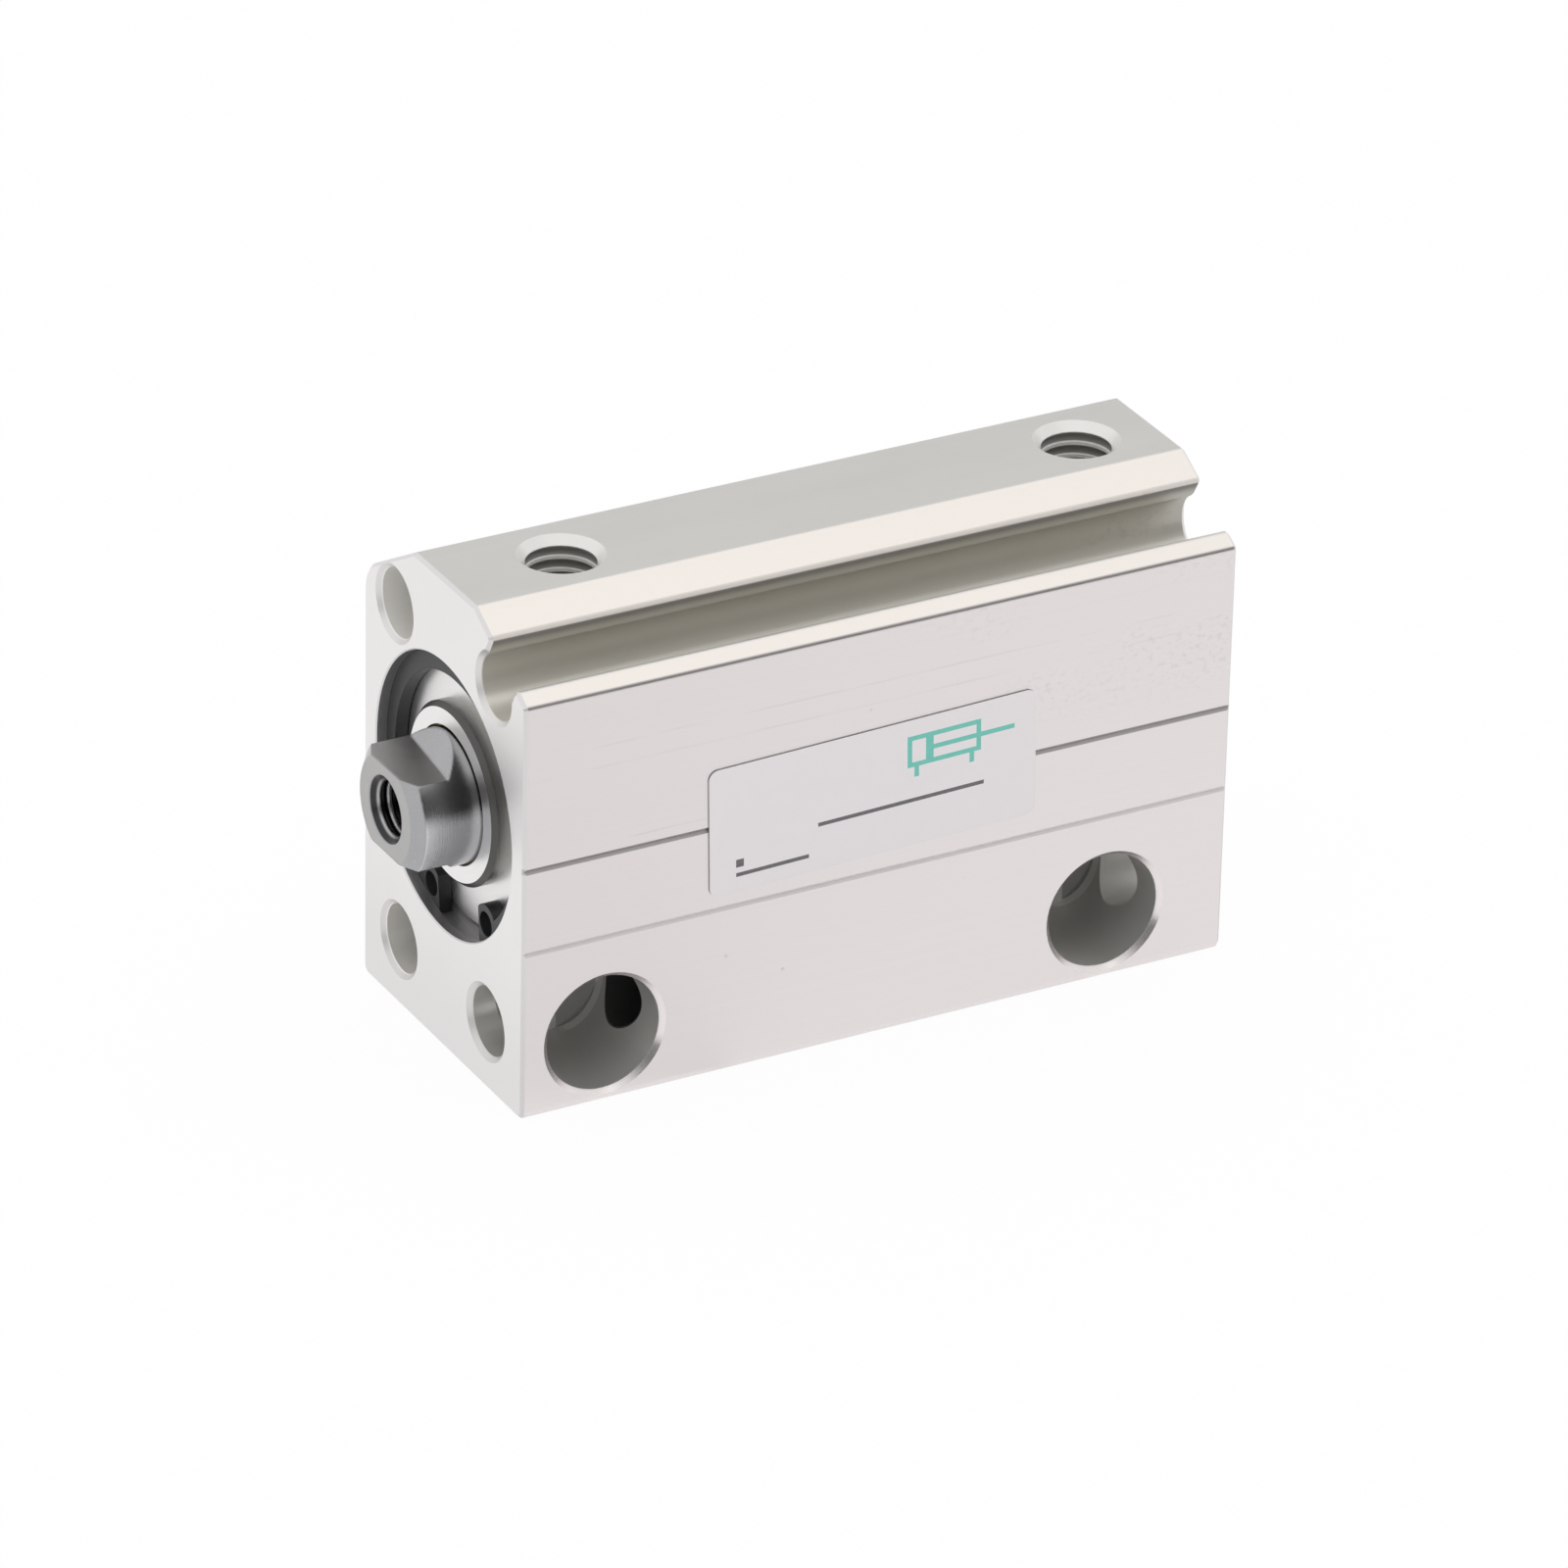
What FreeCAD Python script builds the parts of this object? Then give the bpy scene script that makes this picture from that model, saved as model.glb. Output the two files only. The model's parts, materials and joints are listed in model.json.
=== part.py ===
import FreeCAD, Part
import math
import os

os.makedirs("parts", exist_ok=True)

# Compact double-acting pneumatic cylinder with a square-ended extruded body.
# Millimetres. +Z up, rod along -X, long side with the side holes towards -Y.
# Origin in the middle of the bottom face. The rod is drawn fully retracted.

# Bore, rod and stroke
BORE_DIA = 16.0
ROD_DIA = 8.0
STROKE = 25.0
SEAT_STEP = 0.25
END_GAP = 0.1

# Walls of the extruded body around the bore
SIDE_WALL = 1.75
TOP_WALL = 5.75
SIDE_HOLE_BELOW_SEAT = -0.1
FOOT_WALL = 0.8
TOP_FLAT_WIDTH = 7.5
TOP_SLOPE_DEG = 30.0
FOOT_EDGE_R = 0.6
FAR_EDGE_R = 2.2
END_EDGE = 0.2
EDGE_EASE = 0.14
BORE_MOUTH_STEP = 0.25
BORE_MOUTH_CHAMFER = 0.08

# Shallow lines along the near side, heights measured from the bore axis
LINE_WIDTH = 0.34
LINE_DEPTH = 0.13
UPPER_LINE_RISE = -0.17
LOWER_LINE_RISE = -5.45

# Sensor slot in the near slope
SLOT_DIA = 3.9
SLOT_MOUTH = 3.4
SLOT_FROM_TOP_EDGE = 2.4
SLOT_CENTRE_DEPTH = 2.3
SLOT_LIP_EASE = 0.22

# Through holes along the body
AXIAL_HOLE_DIA = 4.2
AXIAL_HOLE_EDGE = 0.3
AXIAL_HOLE_SPACING = 10.95
LOWER_HOLE_DROP = 0.15
UPPER_HOLE_SIDE = 6.15
UPPER_HOLE_RISE = 9.45

# Side holes with counterbores for socket head screws
SIDE_HOLE_DIA = 4.4
SIDE_HOLE_EDGE = 0.25
COUNTERBORE_DIA = 7.2
COUNTERBORE_EDGE = 0.3
COUNTERBORE_SHORT_OF_MIDDLE = 2.4
FRONT_SIDE_HOLE = 5.3
REAR_SIDE_HOLE = 7.95

# Ports, thread M5 x 0.8, and the narrow passage from each into the bore
PORT_MAJOR_DIA = 5.0
PORT_PITCH = 0.8
PORT_FLOOR = 1.1
PASSAGE_DIA = 1.8
PASSAGE_GAP = 0.15
FRONT_PORT_OFFSET = -0.19
REAR_PORT_OFFSET = -0.75

# Rod end: thread M4 x 0.7, wrench flats
ROD_REACH = 3.65
ROD_END_BEVEL_WIDTH = 0.8
ROD_END_BEVEL_LENGTH = 0.6
ROD_FLATS = 5.4
ROD_FLAT_LENGTH = 2.75
ROD_FLAT_RUNOUT = 1.15
ROD_FLAT_SKEW_DEG = 6.3
ROD_MAJOR_DIA = 4.0
ROD_PITCH = 0.7
ROD_THREAD_DEPTH = 8.0

# Retaining ring
RING_RECESS = 0.7
RING_THICKNESS = 0.8
RING_GROOVE_DEPTH = 0.5
RING_WIDTH_BACK = 1.45
RING_WIDTH_EARS = 1.0
RING_EAR_ANGLE = 26.8
RING_TURN_DEG = 5.6
RING_EAR_INSET = 1.1
RING_EAR_R = 1.2
RING_EYE_DIA = 1.5

# Rod cover and what it holds
COVER_LENGTH = 5.0
HUB_DIA = 10.9
HUB_HEIGHT = 1.1
HUB_CHAMFER = 0.3
COVER_CHAMFER = 0.2
BUSH_WALL = 0.85
BUSH_LENGTH = 3.0
HUB_LIP = 0.65
SEAL_POCKET_WALL = 2.0
RETAINER_THICKNESS = 0.6
RETAINER_STEP = 0.7
O_RING_SECTION = 0.84
O_RING_GROOVE = 1.2
O_RING_LAND = 1.2

# Bumpers, rear plate and the lip that is formed over it
BUMPER_THICKNESS = 1.2
BUMPER_WIDTH = 2.4
REAR_PLATE_THICKNESS = 2.4
REAR_LIP = 0.45
REAR_LIP_OVERLAP = 0.45

# Piston and what it carries
PISTON_FRONT_LAND = 1.0
PISTON_SEAL_WIDTH = 1.7
PISTON_SEAL_HEIGHT = 1.9
PISTON_MID_LAND = 1.0
WEAR_RING_WIDTH = 1.5
WEAR_RING_THICKNESS = 0.8
WEAR_RING_SPLIT = 0.5
PISTON_REAR_LAND = 0.9
MAGNET_THICKNESS = 1.6
MAGNET_HUB_DIA = 9.6
WASHER_INSET = 0.7
SPIGOT_DIA = 6.0
SPIGOT_RING_LAND = 0.9
SCREW_DIA = 4.0
SCREW_LENGTH = 8.0
SCREW_HEAD_DIA = 7.4
SCREW_HEAD_EDGE = 0.2
SCREW_SOCKET = 2.5
SCREW_SOCKET_DEPTH = 1.3

# Label on the near side, placed from the middle of the body and the bore axis
LABEL_LENGTH = 21.2
LABEL_HEIGHT = 8.1
LABEL_THICKNESS = 0.08
LABEL_CORNER_R = 0.6
LABEL_SHIFT = -0.65
LABEL_RISE = -0.24
LABEL_TILT_DEG = 1.5

# Fits
RUNNING = 0.03
GUIDE = 0.04
SEATED = 0.05
PISTON_CLEARANCE = 0.3
ROD_CLEARANCE = 0.15
GROOVE_SIDE = 0.1
THREAD_EDGE = 0.08
CUT = 1.0

bore_r = BORE_DIA / 2
rod_r = ROD_DIA / 2
seat_r = bore_r + SEAT_STEP
bore_mouth_r = seat_r + BORE_MOUTH_STEP
counterbore_r = COUNTERBORE_DIA / 2
spigot_r = SPIGOT_DIA / 2
screw_r = SCREW_DIA / 2
head_r = SCREW_HEAD_DIA / 2
head_height = head_r - screw_r + SCREW_HEAD_EDGE
washer_thickness = head_height - spigot_r + screw_r + 2 * SEATED

# Stations along the bore, measured from the rod-end face
ring_front = RING_RECESS
ring_rear = ring_front + RING_THICKNESS
cover_front = ring_rear + SEATED
cover_rear = cover_front + COVER_LENGTH
hub_front = cover_front - HUB_HEIGHT
front_stop = cover_rear + BUMPER_THICKNESS
seal_groove = PISTON_SEAL_WIDTH + 2 * GROOVE_SIDE
wear_groove = WEAR_RING_WIDTH + GROOVE_SIDE
piston_front = front_stop + END_GAP + STROKE
seal_groove_front = piston_front + PISTON_FRONT_LAND
seal_groove_rear = seal_groove_front + seal_groove
wear_groove_front = seal_groove_rear + PISTON_MID_LAND
wear_groove_rear = wear_groove_front + wear_groove
magnet_front = wear_groove_rear + PISTON_REAR_LAND
magnet_rear = magnet_front + MAGNET_THICKNESS
piston_rear = magnet_rear + washer_thickness
rear_stop = piston_rear + END_GAP
plate_front = rear_stop + BUMPER_THICKNESS
plate_rear = plate_front + REAR_PLATE_THICKNESS
body_length = plate_rear + REAR_LIP

# Cross-section of the body
half_width = seat_r + SIDE_WALL
hole_height = FOOT_WALL + counterbore_r
lower_hole_height = hole_height - LOWER_HOLE_DROP
axis_height = hole_height + counterbore_r + SIDE_HOLE_BELOW_SEAT + seat_r
body_height = axis_height + bore_r + TOP_WALL
slope = math.radians(TOP_SLOPE_DEG)
half_flat = TOP_FLAT_WIDTH / 2
shoulder_height = body_height - (half_width - half_flat) * math.tan(slope)
edge_r = END_EDGE + EDGE_EASE
lip_r = END_EDGE + SLOT_LIP_EASE
front_x = -body_length / 2
rear_x = body_length / 2


def at(s, y, z):
    """Point at station s along the bore."""
    return FreeCAD.Vector(front_x + s, y, z)


def turned(points):
    """Solid of revolution about the bore axis from (station, radius) corners."""
    corners = [at(s, 0, axis_height + r) for s, r in points]
    face = Part.Face(Part.makePolygon(corners + corners[:1]))
    return face.revolve(at(0, 0, axis_height), FreeCAD.Vector(1, 0, 0), 360)


def o_ring(station, radius, section):
    """Round rubber ring about the bore axis."""
    return Part.makeTorus(radius, section / 2, at(station, 0, axis_height), FreeCAD.Vector(1, 0, 0))


def cylinder(radius, start, direction, length):
    return Part.makeCylinder(radius, length, start, direction)


def cone(mouth_r, inner_r, start, direction):
    """45 degree countersink that reaches a little out of the mouth."""
    out = CUT / 2
    base = start - direction * out
    return Part.makeCone(mouth_r + out, inner_r, mouth_r - inner_r + out, base, direction)


def tap(major_dia, pitch, depth, mouth, inward):
    """Blind tapped hole: countersunk mouth, thread turns as rings, drill point."""
    major_r = major_dia / 2
    minor_r = major_r - 0.5413 * pitch
    mouth_r = major_r + THREAD_EDGE
    first = mouth_r - minor_r + pitch / 16
    turns = int((depth - first) / pitch)
    out = CUT / 2
    outline = [(-out, 0), (-out, mouth_r + out), (mouth_r - minor_r, minor_r)]
    for turn in range(turns):
        s = first + turn * pitch
        outline += [(s, minor_r), (s + 0.3125 * pitch, major_r)]
        outline += [(s + 0.4375 * pitch, major_r), (s + 0.75 * pitch, minor_r)]
    bottom = first + turns * pitch
    outline += [(bottom, minor_r), (bottom + 0.3 * minor_r, 0)]
    points = [FreeCAD.Vector(r, 0, s) for s, r in outline]
    face = Part.Face(Part.makePolygon(points + points[:1]))
    tool = face.revolve(FreeCAD.Vector(0, 0, 0), FreeCAD.Vector(0, 0, 1), 360)
    tool.Placement = FreeCAD.Placement(mouth, FreeCAD.Rotation(FreeCAD.Vector(0, 0, 1), inward))
    return tool, bottom


def rounded(corners):
    """Edges through (y, z, radius) corners at the rod end, each inner corner rounded."""
    edges = []
    last = None
    count = len(corners)
    for i, (y, z, r) in enumerate(corners):
        here = FreeCAD.Vector(front_x, y, z)
        if i == 0 or i == count - 1 or r == 0:
            start = end = here
        else:
            back = FreeCAD.Vector(front_x, *corners[i - 1][:2]) - here
            ahead = FreeCAD.Vector(front_x, *corners[i + 1][:2]) - here
            half = back.getAngle(ahead) / 2
            reach = r / math.tan(half)
            back.normalize()
            ahead.normalize()
            start = here + back * reach
            end = here + ahead * reach
            middle = back + ahead
            middle.normalize()
            crown = here + middle * (r / math.sin(half) - r)
        if last is not None:
            edges.append(Part.makeLine(last, start))
        if start != end:
            edges.append(Part.Arc(start, crown, end).toShape())
        last = end
    return edges


along = FreeCAD.Vector(1, 0, 0)
up = FreeCAD.Vector(0, 0, 1)
down = FreeCAD.Vector(0, 0, -1)
to_far = FreeCAD.Vector(0, 1, 0)
to_rod_end = FreeCAD.Vector(-1, 0, 0)

# Sensor slot: round bottom with a parallel neck square to the near slope
slot_r = SLOT_DIA / 2
slope_y = -math.cos(slope)
slope_z = -math.sin(slope)
inward_y = math.sin(slope)
inward_z = -math.cos(slope)
neck_end = SLOT_CENTRE_DEPTH - math.sqrt(slot_r ** 2 - (SLOT_MOUTH / 2) ** 2)


def slope_point(run, depth):
    """Point on the near slope, run from the top edge, depth into the body."""
    y = -half_flat + run * slope_y + depth * inward_y
    return y, body_height + run * slope_z + depth * inward_z


lip_run = SLOT_FROM_TOP_EDGE + SLOT_MOUTH
slot_middle = SLOT_FROM_TOP_EDGE + SLOT_MOUTH / 2
slot_y, slot_z = slope_point(slot_middle, SLOT_CENTRE_DEPTH)
slot_floor = slope_point(slot_middle, SLOT_CENTRE_DEPTH + slot_r)
neck_upper = slope_point(SLOT_FROM_TOP_EDGE, neck_end)
neck_lower = slope_point(lip_run, neck_end)

outline = rounded([
    (*neck_lower, 0),
    (*slope_point(lip_run, 0), lip_r),
    (-half_width, shoulder_height, edge_r),
    (-half_width, 0, FOOT_EDGE_R),
    (half_width, 0, FOOT_EDGE_R),
    (half_width, shoulder_height, FAR_EDGE_R),
    (half_flat, body_height, edge_r),
    (-half_flat, body_height, edge_r),
    (*slope_point(SLOT_FROM_TOP_EDGE, 0), edge_r),
    (*neck_upper, 0),
])
slot_arc = Part.Arc(*[FreeCAD.Vector(front_x, *p) for p in (neck_upper, slot_floor, neck_lower)])
section = Part.Face(Part.Wire(outline + [slot_arc.toShape()]))
body = section.extrude(FreeCAD.Vector(body_length, 0, 0))

# Broken edges around both ends
end_edges = []
for edge in body.Edges:
    box = edge.BoundBox
    middle = edge.CenterOfMass
    clear_of_slot = math.hypot(middle.y - slot_y, middle.z - slot_z) > slot_r + 0.6
    if box.XLength < 1e-6 and clear_of_slot:
        end_edges.append(edge)
body = body.makeChamfer(END_EDGE, end_edges)

# Bore with the seats for cover and rear plate, and the retaining ring's groove
cavity = turned([
    (-CUT, 0),
    (-CUT, bore_mouth_r + BORE_MOUTH_CHAMFER + CUT),
    (BORE_MOUTH_CHAMFER, bore_mouth_r),
    (ring_front, bore_mouth_r),
    (ring_front, seat_r + RING_GROOVE_DEPTH),
    (ring_rear + SEATED, seat_r + RING_GROOVE_DEPTH),
    (ring_rear + SEATED, seat_r),
    (cover_rear, seat_r),
    (cover_rear, bore_r),
    (plate_front, bore_r),
    (plate_front, seat_r),
    (plate_rear, seat_r),
    (plate_rear, seat_r - REAR_LIP_OVERLAP),
    (body_length + CUT, seat_r - REAR_LIP_OVERLAP),
    (body_length + CUT, 0),
])
cuts = [cavity]

# Through holes along the body, with countersinks that the slot's ends share
axial_r = AXIAL_HOLE_DIA / 2
axial_mouth_r = axial_r + AXIAL_HOLE_EDGE
axial_holes = [
    (-AXIAL_HOLE_SPACING / 2, lower_hole_height),
    (AXIAL_HOLE_SPACING / 2, lower_hole_height),
    (UPPER_HOLE_SIDE, axis_height + UPPER_HOLE_RISE),
]
for y, z in axial_holes:
    cuts.append(cylinder(axial_r, at(-CUT, y, z), along, body_length + 2 * CUT))
for y, z in axial_holes:
    cuts.append(cone(axial_mouth_r, axial_r, at(0, y, z), along))
    cuts.append(cone(axial_mouth_r, axial_r, at(body_length, y, z), to_rod_end))
slot_mouth_r = slot_r + AXIAL_HOLE_EDGE
cuts.append(cone(slot_mouth_r, slot_r, at(0, slot_y, slot_z), along))
cuts.append(cone(slot_mouth_r, slot_r, at(body_length, slot_y, slot_z), to_rod_end))

# Side holes
side_hole_r = SIDE_HOLE_DIA / 2
counterbore_depth = half_width - COUNTERBORE_SHORT_OF_MIDDLE
side_stations = (FRONT_SIDE_HOLE, body_length - REAR_SIDE_HOLE)
for s in side_stations:
    near = at(s, -half_width, hole_height)
    far = at(s, half_width, hole_height)
    cuts.append(cylinder(side_hole_r, near, to_far, 2 * half_width + CUT))
    cuts.append(cone(side_hole_r + SIDE_HOLE_EDGE, side_hole_r, far, -to_far))
    cuts.append(cylinder(counterbore_r, near - to_far * CUT, to_far, counterbore_depth + CUT))
    cuts.append(cone(counterbore_r + COUNTERBORE_EDGE, counterbore_r, near, to_far))

# Ports and their passages, which open beside the two bumpers
passage_r = PASSAGE_DIA / 2
front_passage = cover_rear + PASSAGE_GAP + passage_r
rear_passage = piston_rear - PASSAGE_GAP
for s, offset in ((front_passage, FRONT_PORT_OFFSET), (rear_passage, REAR_PORT_OFFSET)):
    mouth = at(s + offset, 0, body_height)
    port, port_depth = tap(PORT_MAJOR_DIA, PORT_PITCH, TOP_WALL - PORT_FLOOR, mouth, down)
    cuts.append(port)
    length = TOP_WALL + bore_r / 2 - port_depth
    cuts.append(cylinder(passage_r, at(s, 0, body_height - port_depth), down, length))

# Shallow lines along the near side
for rise in (UPPER_LINE_RISE, LOWER_LINE_RISE):
    z = axis_height + rise
    groove = [
        at(-CUT, -half_width - LINE_DEPTH, z + LINE_WIDTH),
        at(-CUT, -half_width + LINE_DEPTH, z),
        at(-CUT, -half_width - LINE_DEPTH, z - LINE_WIDTH),
    ]
    face = Part.Face(Part.makePolygon(groove + groove[:1]))
    cuts.append(face.extrude(FreeCAD.Vector(body_length + 2 * CUT, 0, 0)))

for tool in cuts:
    body = body.cut(tool)
body.exportStep("parts/cylinder_body.step")

# Retaining ring with two eyed lugs at the bottom
ring_r = seat_r + RING_GROOVE_DEPTH - SEATED
hollow_r = ring_r - (RING_WIDTH_BACK + RING_WIDTH_EARS) / 2
hollow_drop = (RING_WIDTH_BACK - RING_WIDTH_EARS) / 2
ring = cylinder(ring_r, at(ring_front, 0, axis_height), along, RING_THICKNESS)
hollow_start = at(ring_front - CUT, 0, axis_height - hollow_drop)
ring = ring.cut(cylinder(hollow_r, hollow_start, along, RING_THICKNESS + 2 * CUT))
ear_angle = math.radians(RING_EAR_ANGLE)
ear_reach = ring_r - RING_EAR_INSET
ear_y = ear_reach * math.sin(ear_angle)
ear_z = axis_height - ear_reach * math.cos(ear_angle)
gap_half = ear_y - RING_EAR_R * 0.75
gap = Part.makeBox(
    RING_THICKNESS + 2 * CUT, 2 * gap_half, ring_r + CUT,
    at(ring_front - CUT, -gap_half, axis_height - ring_r - CUT))
for side in (-1, 1):
    ear = cylinder(RING_EAR_R, at(ring_front, side * ear_y, ear_z), along, RING_THICKNESS)
    ring = ring.fuse(ear)
ring = ring.common(cylinder(ring_r, at(ring_front, 0, axis_height), along, RING_THICKNESS))
ring = ring.cut(gap)
for side in (-1, 1):
    eye_start = at(ring_front - CUT, side * ear_y, ear_z)
    ring = ring.cut(cylinder(RING_EYE_DIA / 2, eye_start, along, RING_THICKNESS + 2 * CUT))
ring = ring.removeSplitter()
ring.rotate(at(0, 0, axis_height), along, -RING_TURN_DEG)
ring.exportStep("parts/retaining_ring.step")

# Rod cover
cover_r = seat_r - SEATED
rod_hole_r = rod_r + ROD_CLEARANCE
bush_r = rod_r + BUSH_WALL
hub_r = HUB_DIA / 2
pocket_r = rod_r + SEAL_POCKET_WALL
retainer_r = pocket_r + RETAINER_STEP
bush_front = hub_front + HUB_LIP
bush_rear = bush_front + BUSH_LENGTH
pocket_rear = cover_rear - RETAINER_THICKNESS
o_ring_groove_r = seat_r - O_RING_SECTION
cover_groove_front = cover_rear - O_RING_LAND - O_RING_GROOVE
cover_groove_rear = cover_groove_front + O_RING_GROOVE
cover = turned([
    (hub_front, rod_hole_r),
    (hub_front, hub_r - HUB_CHAMFER),
    (hub_front + HUB_CHAMFER, hub_r),
    (cover_front, hub_r),
    (cover_front, cover_r - COVER_CHAMFER),
    (cover_front + COVER_CHAMFER, cover_r),
    (cover_groove_front, cover_r),
    (cover_groove_front, o_ring_groove_r),
    (cover_groove_rear, o_ring_groove_r),
    (cover_groove_rear, cover_r),
    (cover_rear, cover_r),
    (cover_rear, retainer_r),
    (pocket_rear, retainer_r),
    (pocket_rear, pocket_r),
    (bush_rear, pocket_r),
    (bush_rear, bush_r),
    (bush_front, bush_r),
    (bush_front, rod_hole_r),
])
cover.exportStep("parts/rod_cover.step")

bush = turned([
    (bush_front, rod_r + RUNNING),
    (bush_front, bush_r),
    (bush_rear, bush_r),
    (bush_rear, rod_r + RUNNING),
])
bush.exportStep("parts/rod_bush.step")

# Lip seal, open towards the pressure side
lip = SEAL_POCKET_WALL / 4
seal_mid = rod_r + SEAL_POCKET_WALL / 2
seal_rear = pocket_rear - GROOVE_SIDE
rod_seal = turned([
    (bush_rear, rod_hole_r),
    (bush_rear, pocket_r),
    (seal_rear, pocket_r),
    (seal_rear, pocket_r - lip),
    (bush_rear + lip, seal_mid),
    (seal_rear, rod_r + RUNNING + lip),
    (seal_rear, rod_r + RUNNING),
])
rod_seal.exportStep("parts/rod_seal.step")

retainer = turned([
    (pocket_rear, rod_hole_r + ROD_CLEARANCE),
    (pocket_rear, retainer_r),
    (cover_rear, retainer_r),
    (cover_rear, rod_hole_r + ROD_CLEARANCE),
])
retainer.exportStep("parts/seal_retainer.step")

o_ring_r = seat_r - O_RING_SECTION / 2
cover_o_ring = o_ring((cover_groove_front + cover_groove_rear) / 2, o_ring_r, O_RING_SECTION)
cover_o_ring.exportStep("parts/cover_o_ring.step")

bumper_edge = BUMPER_THICKNESS / 4
bumper_in = rod_hole_r + 2 * ROD_CLEARANCE
bumper_out = bumper_in + BUMPER_WIDTH
front_bumper = turned([
    (cover_rear, bumper_in),
    (cover_rear, bumper_out),
    (front_stop - bumper_edge, bumper_out),
    (front_stop, bumper_out - bumper_edge),
    (front_stop, bumper_in + bumper_edge),
    (front_stop - bumper_edge, bumper_in),
])
front_bumper.exportStep("parts/front_bumper.step")

# Rear plate, its seal and its bumper
plate_groove_front = plate_front + (REAR_PLATE_THICKNESS - O_RING_GROOVE) / 2
plate_groove_rear = plate_groove_front + O_RING_GROOVE
rear_plate = turned([
    (plate_front, 0),
    (plate_front, cover_r - COVER_CHAMFER),
    (plate_front + COVER_CHAMFER, cover_r),
    (plate_groove_front, cover_r),
    (plate_groove_front, o_ring_groove_r),
    (plate_groove_rear, o_ring_groove_r),
    (plate_groove_rear, cover_r),
    (plate_rear, cover_r),
    (plate_rear, 0),
])
rear_plate.exportStep("parts/rear_plate.step")

rear_o_ring = o_ring((plate_groove_front + plate_groove_rear) / 2, o_ring_r, O_RING_SECTION)
rear_o_ring.exportStep("parts/rear_o_ring.step")

rear_bumper = turned([
    (plate_front, 0),
    (plate_front, bumper_out),
    (rear_stop + bumper_edge, bumper_out),
    (rear_stop, bumper_out - bumper_edge),
    (rear_stop, 0),
])
rear_bumper.exportStep("parts/rear_bumper.step")

# Piston rod: flats and threaded hole at the outer end, spigot and screw hole at the inner end
screw_tip = piston_rear - SCREW_LENGTH
spigot_rear = piston_rear - head_height - SEATED
rod = turned([
    (-ROD_REACH, 0),
    (-ROD_REACH, rod_r - ROD_END_BEVEL_WIDTH),
    (-ROD_REACH + ROD_END_BEVEL_LENGTH, rod_r),
    (piston_front, rod_r),
    (piston_front, spigot_r),
    (spigot_rear, spigot_r),
    (spigot_rear, screw_r),
    (screw_tip - CUT, screw_r),
    (screw_tip - CUT - 0.6 * screw_r, 0),
])
flat_r = ROD_FLATS / 2
flat_end = ROD_FLAT_LENGTH - ROD_REACH
runout_end = flat_end + 2 * ROD_FLAT_RUNOUT
flat_lag = rod_r * math.tan(math.radians(ROD_FLAT_SKEW_DEG))
across = FreeCAD.Vector(2 * flat_lag, 2 * rod_r, 0)
for side in (-1, 1):
    low = axis_height + side * flat_r
    high = axis_height + side * (2 * rod_r - flat_r)
    corners = [
        at(-ROD_REACH - CUT, -rod_r, low),
        at(flat_end - flat_lag, -rod_r, low),
        at(runout_end - flat_lag, -rod_r, high),
        at(-ROD_REACH - CUT, -rod_r, high),
    ]
    face = Part.Face(Part.makePolygon(corners + corners[:1]))
    rod = rod.cut(face.extrude(across))
rod_mouth = at(-ROD_REACH, 0, axis_height)
rod_thread = tap(ROD_MAJOR_DIA, ROD_PITCH, ROD_THREAD_DEPTH, rod_mouth, along)[0]
rod = rod.cut(rod_thread)
rod.exportStep("parts/piston_rod.step")

# Piston, with a rear hub that carries the magnet
piston_r = bore_r - PISTON_CLEARANCE
seal_groove_r = bore_r - PISTON_SEAL_HEIGHT - SEATED
wear_groove_r = bore_r - GUIDE - WEAR_RING_THICKNESS - SEATED
magnet_hub_r = MAGNET_HUB_DIA / 2
head_base = piston_rear - head_height
small_groove = O_RING_SECTION + GROOVE_SIDE
small_groove_front = piston_front + SPIGOT_RING_LAND
small_groove_rear = small_groove_front + small_groove
small_groove_r = spigot_r + O_RING_SECTION
sink_depth = magnet_rear - head_base
sink_r = screw_r + sink_depth
piston = turned([
    (piston_front, spigot_r),
    (piston_front, piston_r),
    (seal_groove_front, piston_r),
    (seal_groove_front, seal_groove_r),
    (seal_groove_rear, seal_groove_r),
    (seal_groove_rear, piston_r),
    (wear_groove_front, piston_r),
    (wear_groove_front, wear_groove_r),
    (wear_groove_rear, wear_groove_r),
    (wear_groove_rear, piston_r),
    (magnet_front, piston_r),
    (magnet_front, magnet_hub_r),
    (magnet_rear, magnet_hub_r),
    (magnet_rear, spigot_r),
    (small_groove_rear, spigot_r),
    (small_groove_rear, small_groove_r),
    (small_groove_front, small_groove_r),
    (small_groove_front, spigot_r),
])
piston.exportStep("parts/piston.step")

rod_o_ring = o_ring(
    (small_groove_front + small_groove_rear) / 2, spigot_r + O_RING_SECTION / 2, O_RING_SECTION)
rod_o_ring.exportStep("parts/rod_o_ring.step")

# Piston seal: two lips with a groove between them
seal_out = bore_r - RUNNING
seal_in = seal_groove_r + SEATED
seal_front = seal_groove_front + GROOVE_SIDE
seal_back = seal_groove_rear - GROOVE_SIDE
seal_step = PISTON_SEAL_WIDTH / 5
piston_seal = turned([
    (seal_front, seal_in),
    (seal_front, seal_out - seal_step),
    (seal_front + seal_step, seal_out),
    (seal_front + 2 * seal_step, seal_out),
    (seal_front + 2.5 * seal_step, seal_out - seal_step),
    (seal_back - 2 * seal_step, seal_out),
    (seal_back - seal_step, seal_out),
    (seal_back, seal_out - seal_step),
    (seal_back, seal_in),
])
piston_seal.exportStep("parts/piston_seal.step")

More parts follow.
